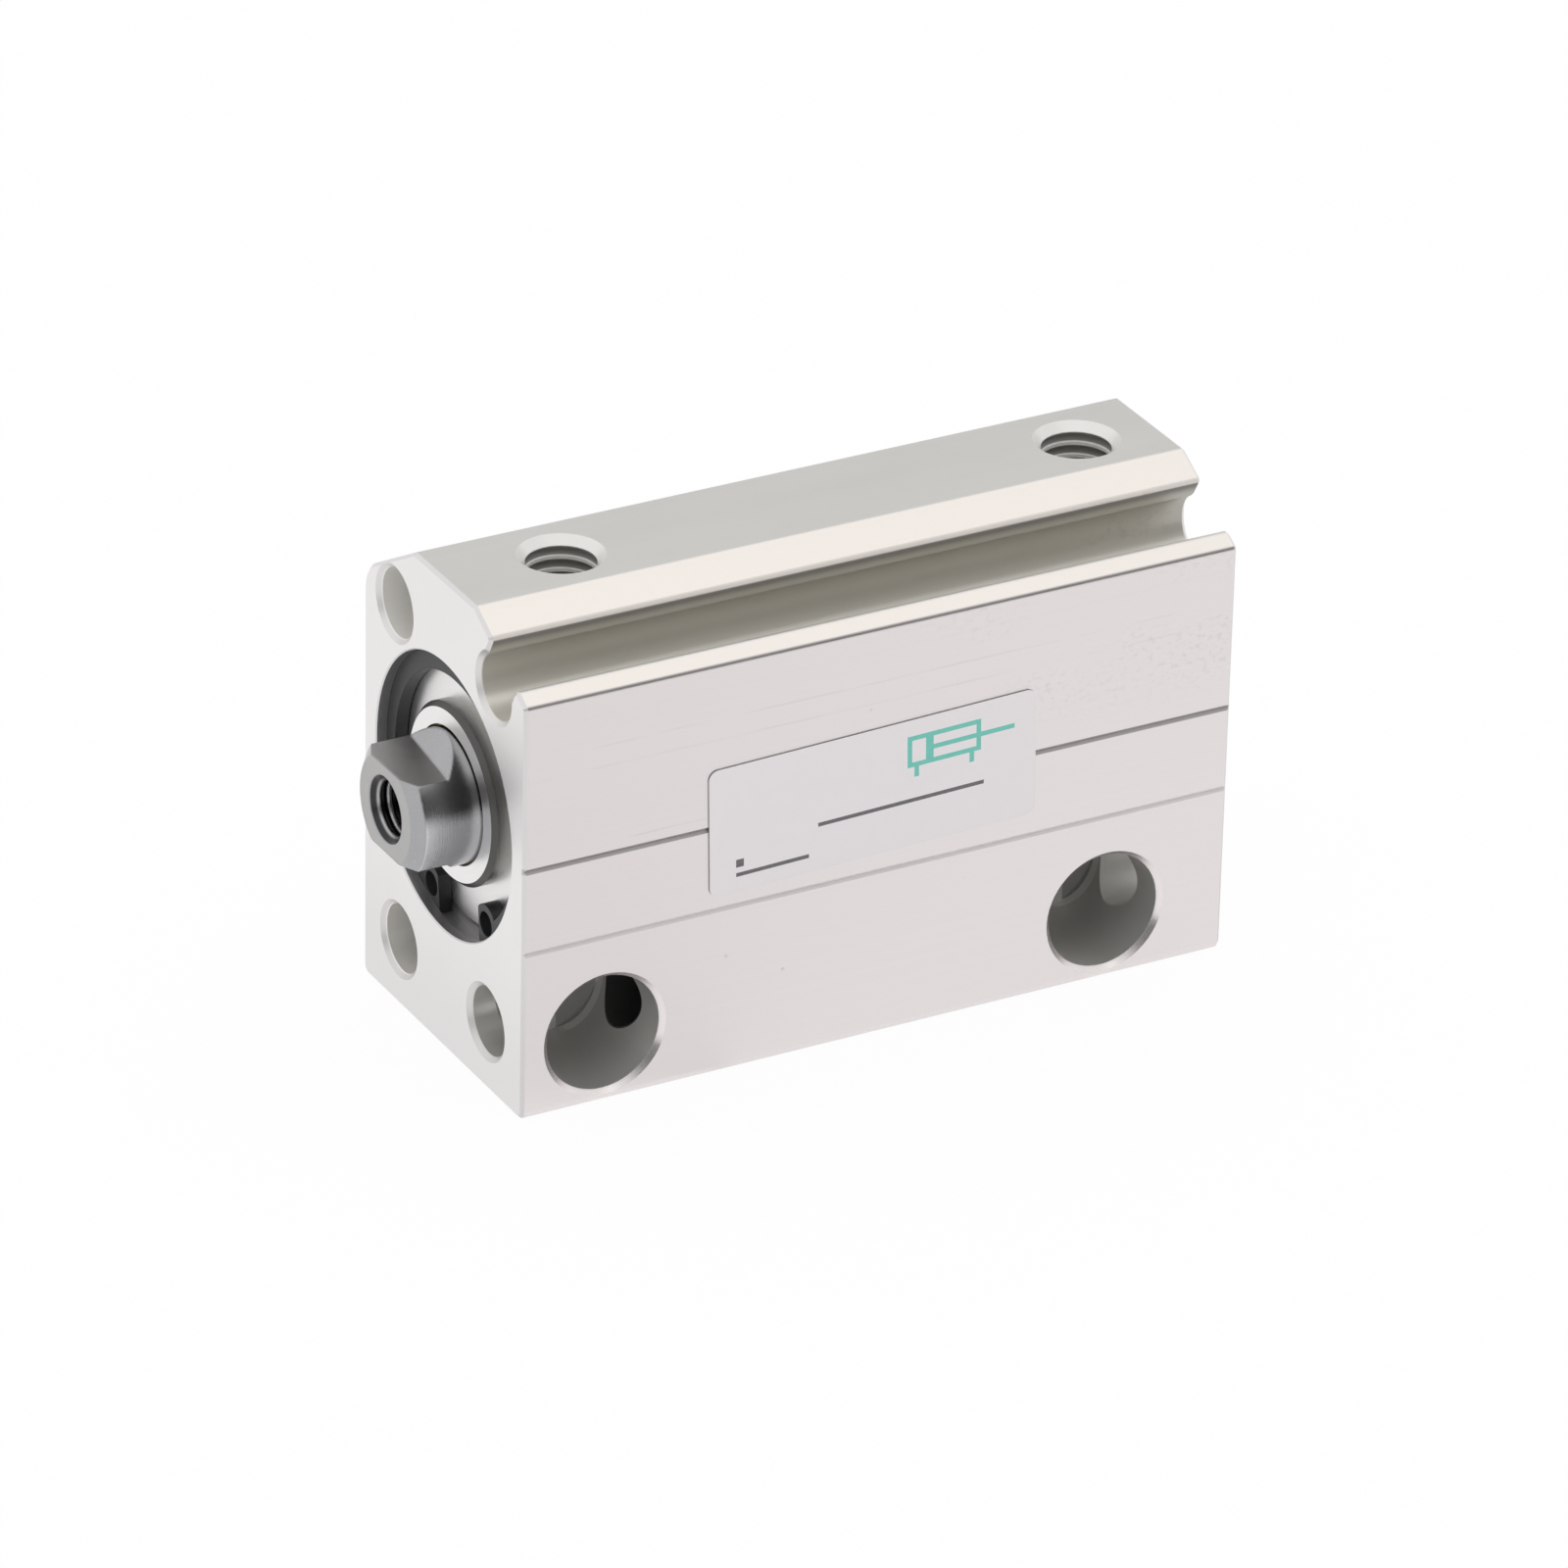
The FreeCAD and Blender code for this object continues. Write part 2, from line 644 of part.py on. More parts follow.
# Split guide ring
wear_out = bore_r - GUIDE
wear_in = wear_out - WEAR_RING_THICKNESS
wear_front = wear_groove_front + GROOVE_SIDE / 2
wear_ring = turned([
    (wear_front, wear_in),
    (wear_front, wear_out),
    (wear_front + WEAR_RING_WIDTH, wear_out),
    (wear_front + WEAR_RING_WIDTH, wear_in),
])
split = Part.makeBox(
    WEAR_RING_WIDTH + 2 * CUT, WEAR_RING_SPLIT, bore_r,
    at(wear_front - CUT, -WEAR_RING_SPLIT / 2, axis_height - bore_r - CUT))
wear_ring = wear_ring.cut(split)
wear_ring.exportStep("parts/wear_ring.step")

# Magnet and the washer that clamps it
washer_r = piston_r - WASHER_INSET
magnet = turned([
    (magnet_front, magnet_hub_r + SEATED),
    (magnet_front, washer_r),
    (magnet_rear, washer_r),
    (magnet_rear, magnet_hub_r + SEATED),
])
magnet.exportStep("parts/magnet_ring.step")

edge_start = piston_rear - SCREW_HEAD_EDGE
washer = turned([
    (magnet_rear, sink_r + SEATED),
    (magnet_rear, washer_r),
    (piston_rear, washer_r),
    (piston_rear, head_r + SEATED),
    (edge_start, head_r + SEATED),
])
washer.exportStep("parts/magnet_washer.step")

# Countersunk screw with a hexagon socket
screw = turned([
    (screw_tip, 0),
    (screw_tip, screw_r - SEATED),
    (head_base, screw_r - SEATED),
    (edge_start, head_r - SEATED),
    (piston_rear, head_r - SEATED),
    (piston_rear, 0),
])
corner = SCREW_SOCKET / math.sqrt(3)
hexagon = []
for i in range(6):
    turn = math.radians(60 * i)
    hexagon.append(at(
        body_length, corner * math.cos(turn), axis_height + corner * math.sin(turn)))
face = Part.Face(Part.makePolygon(hexagon + hexagon[:1]))
screw = screw.cut(face.extrude(at(piston_rear - SCREW_SOCKET_DEPTH, 0, 0) - at(body_length, 0, 0)))
screw.exportStep("parts/piston_screw.step")

# Label, a thin sticker with rounded corners
label = Part.makeBox(
    LABEL_LENGTH, LABEL_THICKNESS, LABEL_HEIGHT,
    FreeCAD.Vector(
        LABEL_SHIFT - LABEL_LENGTH / 2, -half_width - LABEL_THICKNESS,
        axis_height + LABEL_RISE - LABEL_HEIGHT / 2))
corners = [e for e in label.Edges if abs(e.BoundBox.YLength - LABEL_THICKNESS) < 1e-6]
label = label.makeFillet(LABEL_CORNER_R, corners)
label.rotate(FreeCAD.Vector(LABEL_SHIFT, 0, axis_height + LABEL_RISE), -to_far, LABEL_TILT_DEG)
label.exportStep("parts/label.step")
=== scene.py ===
import json
import math
from types import SimpleNamespace

import bpy
from bpy.props import FloatProperty, FloatVectorProperty, PointerProperty
from mathutils import Matrix, Vector


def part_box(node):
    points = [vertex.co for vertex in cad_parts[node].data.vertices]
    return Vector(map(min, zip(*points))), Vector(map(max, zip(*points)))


bl_info = {
    "name": "Compact Air Cylinder",
    "version": (1, 0, 0),
    "blender": (4, 5, 0),
    "location": "3D View > Sidebar > Air Cylinder",
    "description": "Finishes, label and studio for a compact double-acting air cylinder",
    "category": "3D View",
}

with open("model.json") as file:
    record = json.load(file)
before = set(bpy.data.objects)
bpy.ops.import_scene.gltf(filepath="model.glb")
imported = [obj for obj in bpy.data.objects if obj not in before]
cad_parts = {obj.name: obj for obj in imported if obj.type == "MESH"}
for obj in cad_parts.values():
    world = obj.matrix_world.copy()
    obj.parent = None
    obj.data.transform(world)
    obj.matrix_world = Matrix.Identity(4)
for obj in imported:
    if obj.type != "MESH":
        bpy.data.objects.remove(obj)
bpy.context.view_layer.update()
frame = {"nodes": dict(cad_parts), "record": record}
MM = 0.001
MOUNTS = {entry["name"]: entry for entry in frame["record"]["mounts"]}


def mount(name):
    """A mount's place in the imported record."""
    return Vector(MOUNTS[name]["pos_m"])


def pair(name):
    """How far each hole of a two-hole pattern stands from its middle."""
    return MOUNTS[name]["dims"]["spacing_x_mm"] * MM / 2


BODY_LOW, BODY_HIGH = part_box("cylinder_body")
LABEL_LOW, LABEL_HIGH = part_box("label")
ROD_LOW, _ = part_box("piston_rod")
COVER_LOW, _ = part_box("rod_cover")
BORE_HEIGHT = mount("rod_end_thread").z
SLOT_AXIS = mount("sensor_slot")

# Radii just outside the round walls that have a tone of their own
BOLT_WALL = 2.15 * MM
SIDE_SCREW_WALL = 2.25 * MM
COUNTERBORE_WALL = 3.66 * MM
COUNTERBORE_RIM = 4.2 * MM
PORT_MOUTH = 3.3 * MM
PORT_THREAD = 2.7 * MM
PORT_CREST = 2.12 * MM
BORE_WALL = 8.78 * MM
WALL_BLEND = 0.06 * MM

# The slopes start this far from the middle and fall 30 degrees to the side
SLOPE_START = 3.75 * MM
SLOPE_SIN, SLOPE_COS = 0.5, 0.866

# Grooves and rubbed lines along the near side
UPPER_LINE_DROP = 0.17 * MM
LOWER_LINE_DROP = 5.45 * MM
LINE_HALF_WIDTH = 0.16 * MM, 0.20 * MM
RUBBED_LINES = ((16.75, 0.8), (21.6, 0.5), (22.9, 0.6))

# Printed bars (left, low, right, high), in millimetres from the label's middle
SIGN_BARREL = (2.2, 1.0, 7.0, 3.0)
SIGN_PARTS = (
    (3.4, 1.0, 3.9, 3.0), (3.9, 1.85, 9.2, 2.15),
    (2.65, 0.35, 2.95, 1.0), (6.25, 0.35, 6.55, 1.0))
FIRST_RULE = (-8.9, -3.1, -4.2, -2.85)
OTHER_RULES = ((-3.6, -1.25, 7.2, -1.0), (-8.9, -2.5, -8.4, -2.0))
INK_COVER, INK_GRAIN = 0.86, 0.12

# Stage, in metres, but the camera's sensor in millimetres
SENSOR_WIDTH = 36.0
NEAR_CLIP, FAR_CLIP = 0.01, 20.0
SOFTBOX_SIZE = 1.3, 1.1
SOFTBOX_PLACE = 0.25, -0.15, 1.25
BACK_CARD_PLACE = 0.75, 1.35, 0.75
BACK_CARD_SIZE = 3.2, 1.1
FRONT_CARD_PLACE = 0.0, -1.45, 0.80
FRONT_CARD_SIZE = 7.0, 1.6
FLOOR_LEVEL = -0.02 * MM


class Wire:
    """A shader socket that takes part in Python expressions."""

    def __init__(self, socket):
        self.socket = socket
        self.tree = socket.id_data

    def math(self, operation, *values):
        node = self.tree.nodes.new("ShaderNodeMath")
        node.operation = operation
        for target, value in zip(node.inputs, values):
            plug(target, value)
        return Wire(node.outputs[0])

    def __add__(self, other):
        return self.math("ADD", self, other)

    def __radd__(self, other):
        return self.math("ADD", other, self)

    def __sub__(self, other):
        return self.math("SUBTRACT", self, other)

    def __rsub__(self, other):
        return self.math("SUBTRACT", other, self)

    def __mul__(self, other):
        return self.math("MULTIPLY", self, other)

    def __rmul__(self, other):
        return self.math("MULTIPLY", other, self)

    def __truediv__(self, other):
        return self.math("DIVIDE", self, other)

    def __rtruediv__(self, other):
        return self.math("DIVIDE", other, self)

    def __pow__(self, other):
        return self.math("POWER", self, other)

    def __rpow__(self, other):
        return self.math("POWER", other, self)

    def __lt__(self, other):
        return self.math("LESS_THAN", self, other)

    def __gt__(self, other):
        return self.math("GREATER_THAN", self, other)

    def __abs__(self):
        return self.math("ABSOLUTE", self)


def plug(target, value):
    """Links or sets one input socket."""
    if isinstance(value, Wire):
        value.tree.links.new(value.socket, target)
    else:
        target.default_value = value


class Nodes:
    """A node tree and the parts that the finishes and the stage share."""

    def __init__(self, tree):
        self.tree = tree

    def node(self, kind, settings, values, output=0):
        """Adds a node: its settings first, then its sockets' values or links."""
        node = self.tree.nodes.new(kind)
        for key, value in settings.items():
            setattr(node, key, value)
        for key, value in values.items():
            plug(node.inputs[key], value)
        return Wire(node.outputs[output])

    def place(self):
        return self.node("ShaderNodeTexCoord", {}, {}, "Object")

    def facing(self):
        return self.node("ShaderNodeTexCoord", {}, {}, "Normal")

    def split(self, vector):
        parts = self.node("ShaderNodeSeparateXYZ", {}, {0: vector})
        return [Wire(out) for out in parts.socket.node.outputs]

    def join(self, x, y, z):
        return self.node("ShaderNodeCombineXYZ", {}, {0: x, 1: y, 2: z})

    def stretch(self, vector, factors):
        values = {0: vector, 1: factors}
        return self.node("ShaderNodeVectorMath", {"operation": "MULTIPLY"}, values)

    def noise(self, vector, scale, detail=3.0, rough=0.5):
        values = {"Vector": vector, "Scale": scale, "Detail": detail, "Roughness": rough}
        return self.node("ShaderNodeTexNoise", {}, values, "Fac")

    def cells(self, vector, scale):
        values = {"Vector": vector, "Scale": scale}
        return self.node("ShaderNodeTexVoronoi", {}, values, "Distance")

    def ease(self, value, low, high):
        """0 below low, 1 above high, smooth between."""
        settings = {"interpolation_type": "SMOOTHSTEP"}
        return self.node("ShaderNodeMapRange", settings, {"Value": value, 1: low, 2: high})

    def fade(self, value, low, high):
        """1 below low, 0 above high, smooth between."""
        return 1 - self.ease(value, low, high)

    def mix(self, share, first, second):
        """Colour between first and second."""
        values = {0: share, 6: first, 7: second}
        return self.node("ShaderNodeMix", {"data_type": "RGBA"}, values, 2)

    def shade(self, colour, factor):
        """Colour made lighter or darker by a factor."""
        settings = {"data_type": "RGBA", "blend_type": "MULTIPLY"}
        return self.node("ShaderNodeMix", settings, {0: 1.0, 6: colour, 7: factor}, 2)

    def bump(self, height, depth, strength=1.0, edge=0.0):
        """Normal for a relief whose height runs from 0 to 1 over depth metres, on eased edges."""
        values = {"Height": height, "Strength": strength, "Distance": depth}
        if edge:
            values["Normal"] = self.node("ShaderNodeBevel", {"samples": 6}, {"Radius": edge})
        return self.node("ShaderNodeBump", {}, values)

    def reach(self, u, v, centre):
        """Distance from an axis that passes through centre in the u, v plane."""
        du = u - centre[0]
        dv = v - centre[1]
        return (du * du + dv * dv) ** 0.5

    def plain_view(self):
        """1 for the rays that see the plain white surroundings."""
        seen = self.node("ShaderNodeLightPath", {}, {}, "Is Camera Ray")
        rays = seen.socket.node.outputs
        return seen + Wire(rays["Is Glossy Ray"]) + Wire(rays["Is Transmission Ray"])


class Finish(Nodes):
    """A material under construction."""

    def __init__(self, name, **constants):
        self.material = bpy.data.materials.new(name)
        self.material.use_nodes = True
        super().__init__(self.material.node_tree)
        self.shader = self.tree.nodes["Principled BSDF"]
        self.surface = self.tree.nodes["Material Output"].inputs["Surface"]
        for socket, value in constants.items():
            self.shader.inputs[socket.replace("_", " ")].default_value = value

    def hand_to(self, nodes, **links):
        """Connects the shader and gives the material to the named CAD nodes."""
        for socket, value in links.items():
            plug(self.shader.inputs[socket.replace("_", " ")], value)
        for name in nodes:
            for slot in frame["nodes"][name].material_slots:
                slot.material = self.material


def colour(name, description, default):
    return FloatVectorProperty(
        name=name, description=description, default=(*default, 1.0), size=4,
        min=0.0, max=1.0, subtype="COLOR")


def share(name, description, default, top=1.0):
    return FloatProperty(
        name=name, description=description, default=default, min=0.0, max=top, subtype="FACTOR")


def length(name, description, default):
    return FloatProperty(
        name=name, description=description, default=default, min=0.0, unit="LENGTH", precision=5)


class BodyFinish(bpy.types.PropertyGroup):
    end: colour("End faces", "Faced ends of the extrusion", (0.865, 0.845, 0.84))
    side: colour("Sides", "Long sides of the extrusion", (0.84, 0.79, 0.79))
    # The top's darker tone is painted shade: top, slopes and sides are one anodised skin
    top: colour("Top", "Flat between the two slopes", (0.74, 0.725, 0.70))
    slope: colour("Slopes", "Sloped strips beside the top", (0.80, 0.755, 0.71))
    # The slot's darker tone is painted shade in the recess
    slot: colour("Slot", "Inside of the sensor slot", (0.74, 0.715, 0.65))
    drilled: colour("Drilled walls", "Bare walls of the bolt holes", (0.90, 0.885, 0.85))
    # The pockets' darker tone is painted shade in the counterbores
    pocket: colour("Pockets", "Walls of the two side counterbores", (0.60, 0.59, 0.57))
    # The bore's dark tone is painted shade
    bore: colour("Bore", "Honed bore and its mouth", (0.48, 0.475, 0.475))
    mouth: colour("Countersinks", "Bare countersinks of the ports", (0.81, 0.80, 0.78))
    crest: colour("Thread crests", "Bare crests of the port threads", (0.90, 0.885, 0.85))
    # The dark thread roots are painted shade
    root: colour("Thread roots", "Oiled roots of the port threads", (0.33, 0.325, 0.31))
    roughness: share("Roughness", "Gloss of the anodised skin", 0.40)
    line_spacing: length("Line spacing", "Distance between the drawn lines", 0.30 * MM)
    line_depth: length("Line depth", "Depth of the drawn lines", 0.003 * MM)
    speck: share("Specks", "How dark the small pits are", 0.40)
    mottle: share("Mottle", "Strength of the grey handling marks on the sides", 0.09)


class FittingFinish(bpy.types.PropertyGroup):
    cover: colour("Cover", "Turned cover and rear plate", (0.86, 0.85, 0.84))
    # The hub side's darker tone is painted shade on the same turned metal
    hub_side: colour("Hub side", "Turned side of the cover's hub", (0.50, 0.495, 0.475))
    ring: colour("Retaining ring", "Black phosphated spring steel", (0.045, 0.046, 0.048))
    bronze: colour("Bush", "Sintered bronze", (0.50, 0.33, 0.16))
    zinc: colour("Plated steel", "Zinc-plated washers", (0.56, 0.57, 0.58))
    oxide: colour("Screw", "Black oxide screw", (0.045, 0.045, 0.048))
    piston: colour("Piston", "Chromated aluminium", (0.62, 0.59, 0.50))
    magnet: colour("Magnet", "Sintered magnet", (0.055, 0.055, 0.058))
    turning: length("Turning lines", "Distance between tool marks on turned faces", 0.09 * MM)


class RodFinish(bpy.types.PropertyGroup):
    steel: colour("Rod", "Ground and chromed steel", (0.40, 0.40, 0.41))
    # The lighter underside tone is painted light on the same ground steel
    under: colour("Underside", "Lighter tone of the rod's underside", (0.60, 0.60, 0.63))
    end: colour("Rod end", "Faced end of the rod", (0.44, 0.435, 0.43))
    flats: colour("Flats", "Milled wrench flats", (0.36, 0.355, 0.35))
    crest: colour("Thread crests", "Bare crests of the end thread", (0.50, 0.50, 0.51))
    # The dark thread roots are painted shade
    root: colour("Thread roots", "Oiled roots of that thread", (0.05, 0.05, 0.052))
    scratch: colour("Scratches", "Bright scratches in the ground skin", (0.62, 0.62, 0.62))
    roughness: share("Roughness", "Gloss of the ground surface", 0.26)
    grinding: length("Grinding lines", "Distance between the fine lines around the rod", 0.05 * MM)


class SealFinish(bpy.types.PropertyGroup):
    nitrile: colour("Seals", "Black nitrile rubber", (0.020, 0.020, 0.021))
    urethane: colour("Bumpers", "Amber-brown urethane", (0.16, 0.11, 0.05))
    guide: colour("Guide ring", "Filled bearing plastic", (0.06, 0.055, 0.05))


class LabelPrint(bpy.types.PropertyGroup):
    film: colour("Film", "Satin white film", (0.78, 0.745, 0.76))
    # The film edge's dark tone is painted shade
    edge: colour("Film edge", "Cut edge with a trace of dirt", (0.20, 0.19, 0.19))
    sign: colour("Sign", "Printed circuit sign of the cylinder", (0.10, 0.52, 0.43))
    rule: colour("Rules", "Printed lines of the blank fields", (0.075, 0.07, 0.08))
    stroke: length("Stroke", "Width of the printed lines", 0.30 * MM)
    tilt: FloatProperty(
        name="Tilt", description="How far the label is turned on the side",
        default=math.radians(1.5), subtype="ANGLE")


class Studio(bpy.types.PropertyGroup):
    camera: FloatVectorProperty(
        name="Camera", description="Place of the camera",
        default=(-0.25874, -0.46216, 0.28941), subtype="TRANSLATION", unit="LENGTH")
    aim: FloatVectorProperty(
        name="Aim", description="Direction that the camera looks in",
        default=(0.431476, 0.773328, -0.464534), subtype="DIRECTION")
    roll: FloatProperty(
        name="Roll", description="Turn of the camera about its aim",
        default=math.radians(1.302), subtype="ANGLE")
    lens: FloatProperty(
        name="Lens", description="Focal length in millimetres on a 36 mm sensor",
        default=237.43, min=10.0)
    dome: share("Dome", "Light from all around", 0.94, 2.0)
    softbox: FloatProperty(
        name="Softbox", description="Radiance of the panel overhead", default=0.25, min=0.0)
    back_card: share("Back card", "Tone of the card that the top reflects", 0.66)
    front_card: share("Front card", "Tone of the card that the rod reflects", 0.12)
    floor: colour("Floor", "Plain pale floor", (0.94, 0.94, 0.94))
    floor_glow: share("Floor white", "How far the floor is seen as plain white", 0.95)
    floor_size: length("Floor size", "Edge of the floor", 6.0)


class CylinderSettings(bpy.types.PropertyGroup):
    body: PointerProperty(type=BodyFinish, name="Body", description="Anodised body")
    fitting: PointerProperty(
        type=FittingFinish, name="Fittings", description="Turned and stamped metal")
    rod: PointerProperty(type=RodFinish, name="Rod", description="Piston rod")
    seal: PointerProperty(type=SealFinish, name="Seals", description="Rubber and plastic")
    label: PointerProperty(type=LabelPrint, name="Label", description="Printed film")
    studio: PointerProperty(type=Studio, name="Studio", description="Camera, light and floor")


def settings():
    return bpy.context.scene.air_cylinder


def from_bore(paint):
    """Place along the bore and distance from its axis."""
    x, y, z = paint.split(paint.place())
    return x, paint.reach(y, z, (0.0, BORE_HEIGHT))


class CYLINDER_OT_finish_body(bpy.types.Operator):
    """Anodised extrusion with drawn lines, faced ends and bare machined holes"""

    bl_idname = "cylinder.finish_body"
    bl_label = "Finish Body"

    # Depths over which a face's tone gives way to the next
    END_SKIN = 0.2 * MM, 0.3 * MM
    SIDE_SKIN = 0.2 * MM, 0.35 * MM
    COUNTERBORE_FLOOR = 7.6 * MM, 7.9 * MM
    DARK_IN_HOLE = 5.5 * MM, 8 * MM
    THREAD_START = 0.42 * MM, 0.6 * MM

    # How far a face is turned to its axis where its tone begins and ends
    END_FACING = 0.45, 0.75
    BEVEL_FACING = 0.3, 0.6
    FLAT_END_FACING = 0.85, 0.95
    SIDE_FACING = 0.9, 0.97
    TOP_FACING = 0.93, 0.985
    SLOPE_FACING = 0.62, 0.80
    EDGE_FACING = 0.70, 0.82

    # How much of the tone each mark takes away: the rubbed lines are wear, all the others are
    # painted shade
    RIDGE_DARK, RUBBED_DARK = 0.3, 0.10
    SLOT_DARK, LIP_DARK = 0.35, 0.3
    HOLE_DARK, NEAR_HOLE_DARK, THROUGH_DARK = 0.85, 0.28, 0.6
    LINE_DARK, BEVEL_DARK, LOW_END_DARK = 0.25, 0.12, 0.09

    # How metallic the skin is, and how much less so where it is recessed
    SKIN_METAL = 0.9
    THREAD_LOSS, GROOVE_LOSS, HOLE_LOSS, LIP_LOSS, UPPER_HOLE_LOSS = 0.55, 0.4, 0.3, 0.5, 0.3

    def inside(self, paint, u, v, centres, radius):
        """Mask of the walls that lie within a radius of any of the axes."""
        mask = 0.0
        for centre in centres:
            mask = paint.fade(paint.reach(u, v, centre), radius, radius + WALL_BLEND) + mask
        return mask

    def mark_faces(self, paint, at):
        """Masks of the ends, and of painted shade on the strip's lower edge, on the end bevels and
        low on the ends.
        """
        from_end = BODY_HIGH.x - abs(at.x)
        end_side = paint.fade(from_end, *self.END_SKIN)
        end = paint.ease(abs(at.nx), *self.END_FACING) * end_side
        # Painted shade: a dark line along the lower edge of the near sloped strip
        ridge = paint.ease(at.nz, 0.15, 0.4) * paint.fade(at.nz, *self.EDGE_FACING)
        ridge = ridge * paint.ease(-1 * at.ny, 0.5, 0.6)
        ridge = ridge * paint.ease(at.z, BODY_HIGH.z - 4.2 * MM, BODY_HIGH.z - 4.0 * MM)
        ridge = ridge * paint.fade(at.y, BODY_LOW.y + 0.4 * MM, BODY_LOW.y + 0.5 * MM)
        # Painted shade on the bevels around the ends
        bevel = end_side * paint.ease(abs(at.nx), *self.BEVEL_FACING)
        return SimpleNamespace(
            from_end=from_end, end_side=end_side, end=end, open=1 - end, ridge=ridge,
            bevel=bevel * paint.fade(abs(at.nx), *self.FLAT_END_FACING),
            # Painted shade: the ends darker towards the floor
            low_end=end * paint.fade(at.z, 1 * MM, 13 * MM))

    def mark_holes(self, paint, at, face):
        """Masks of the bolt holes, counterbores, ports and bore."""
        axial = mount("axial_bolts")
        upper = mount("upper_axial_hole")
        bolts = mount("side_bolts")
        axial_holes = [(side * pair("axial_bolts"), axial.z) for side in (-1, 1)]
        axial_holes.append((upper.y, upper.z))
        side_holes = [(bolts.x + side * pair("side_bolts"), bolts.z) for side in (-1, 1)]
        ports = [(mount(name).x, mount(name).y) for name in ("front_port", "rear_port")]

        drilled = self.inside(paint, at.y, at.z, axial_holes, BOLT_WALL) * face.open
        drilled = drilled * (1 - self.inside(paint, at.x, at.z, side_holes, SIDE_SCREW_WALL))
        depth = at.y - BODY_LOW.y
        within = paint.ease(depth, *self.SIDE_SKIN)
        within = within * paint.fade(at.y, BODY_HIGH.y - 0.3 * MM, BODY_HIGH.y - 0.2 * MM)
        pocket = self.inside(paint, at.x, at.z, side_holes, COUNTERBORE_WALL) * within
        pocket = pocket * (1 - drilled)
        rim = self.inside(paint, at.x, at.z, side_holes, COUNTERBORE_RIM)
        rim = rim * paint.fade(abs(at.ny), *self.FLAT_END_FACING)
        tapped = self.inside(paint, at.x, at.y, ports, PORT_THREAD)
        return SimpleNamespace(
            drilled=drilled, pocket=pocket,
            # Painted shade on the through hole beyond the counterbore floor
            through=pocket * paint.ease(depth, *self.COUNTERBORE_FLOOR),
            rim=rim * paint.fade(depth, 0.3 * MM, 0.4 * MM),
            mouth=self.inside(paint, at.x, at.y, ports, PORT_MOUTH),
            tapped=tapped * paint.ease(BODY_HIGH.z - at.z, *self.THREAD_START),
            crest=self.inside(paint, at.x, at.y, ports, PORT_CREST),
            bore=self.inside(paint, at.y, at.z, [(0.0, BORE_HEIGHT)], BORE_WALL) * face.open)

    def mark_slot(self, paint, at, face):
        """Masks of the sensor slot, of the painted shade below its upper lip and of that lip's
        edge.
        """
        reach = paint.reach(at.y, at.z, (SLOT_AXIS.y, SLOT_AXIS.z))
        below = (at.y + SLOPE_START) * SLOPE_SIN - (at.z - BODY_HIGH.z) * SLOPE_COS
        up = (at.y - SLOT_AXIS.y) * SLOPE_COS + (at.z - SLOT_AXIS.z) * SLOPE_SIN
        slot = paint.ease(below, 0.02 * MM, 0.12 * MM) * paint.fade(reach, 2.7 * MM, 2.8 * MM)
        faced = face.end_side * paint.ease(abs(at.nx), *self.BEVEL_FACING)
        slot = slot * face.open * (1 - faced)
        # Painted shade: a darker band just below the upper lip
        lip = slot * paint.fade(below, 0.4 * MM, 1.1 * MM) * paint.ease(up, 0.4 * MM, 0.8 * MM)
        edge = paint.ease(up, 1.35 * MM, 1.5 * MM) * paint.fade(below, 0.3 * MM, 0.6 * MM)
        edge = edge * paint.fade(reach, 3.0 * MM, 3.1 * MM)
        edge = edge * paint.fade(at.nz, *self.EDGE_FACING) * face.open
        # Painted shade: the slot darker towards its upper lip
        shade = slot * paint.ease(up, 0.3 * MM, 1.7 * MM) * self.SLOT_DARK
        return SimpleNamespace(inner=slot, lip=lip, edge=edge, shade=shade)

    def mark_line(self, paint, at, drop):
        """Mask of a fine groove along the near side, a drop below the bore's axis."""
        near_skin = paint.fade(at.y, BODY_LOW.y + 0.2 * MM, BODY_LOW.y + 0.3 * MM)
        return paint.fade(abs(at.z - BORE_HEIGHT + drop), *LINE_HALF_WIDTH) * near_skin

    def mark_wear(self, paint, at):
        """Masks of the grey handling marks, the small pits and the rubbed lines."""
        def patches(factors, detail, low, high):
            noise = paint.noise(paint.stretch(at.place, factors), scale=1.0, detail=detail)
            return paint.ease(noise, low, high)

        flat_side = paint.ease(abs(at.ny), *self.SIDE_FACING)
        patch = patches((110.0, 160.0, 160.0), 2.0, 0.40, 0.60)
        smudge = patches((2200.0, 3200.0, 3200.0), 3.0, 0.50, 0.68)
        high_side = paint.ease(at.z, BORE_HEIGHT + 0.6 * MM, BORE_HEIGHT + 3.0 * MM) * flat_side
        high_side = high_side * paint.ease(at.x, -2 * MM, 8 * MM)
        pits = paint.fade(paint.cells(at.place, scale=420.0), 0.035, 0.075)
        sparse = paint.ease(paint.noise(at.place, scale=210.0, detail=1.0), 0.60, 0.66)

        sway = paint.noise(paint.stretch(at.place, (60.0, 0.0, 0.0)), scale=1.0, detail=2.0)
        wander = (sway - 0.5) * 0.5 * MM
        rubbed = 0.0
        for height, strength in RUBBED_LINES:
            off = abs(at.z - height * MM + wander)
            rubbed = paint.fade(off, 0.03 * MM, 0.10 * MM) * strength + rubbed
        worn = patches((120.0, 0.0, 90.0), 2.0, 0.42, 0.58)
        return SimpleNamespace(
            smudge=smudge * patch * high_side, pits=pits * sparse,
            rubbed=rubbed * worn * flat_side)

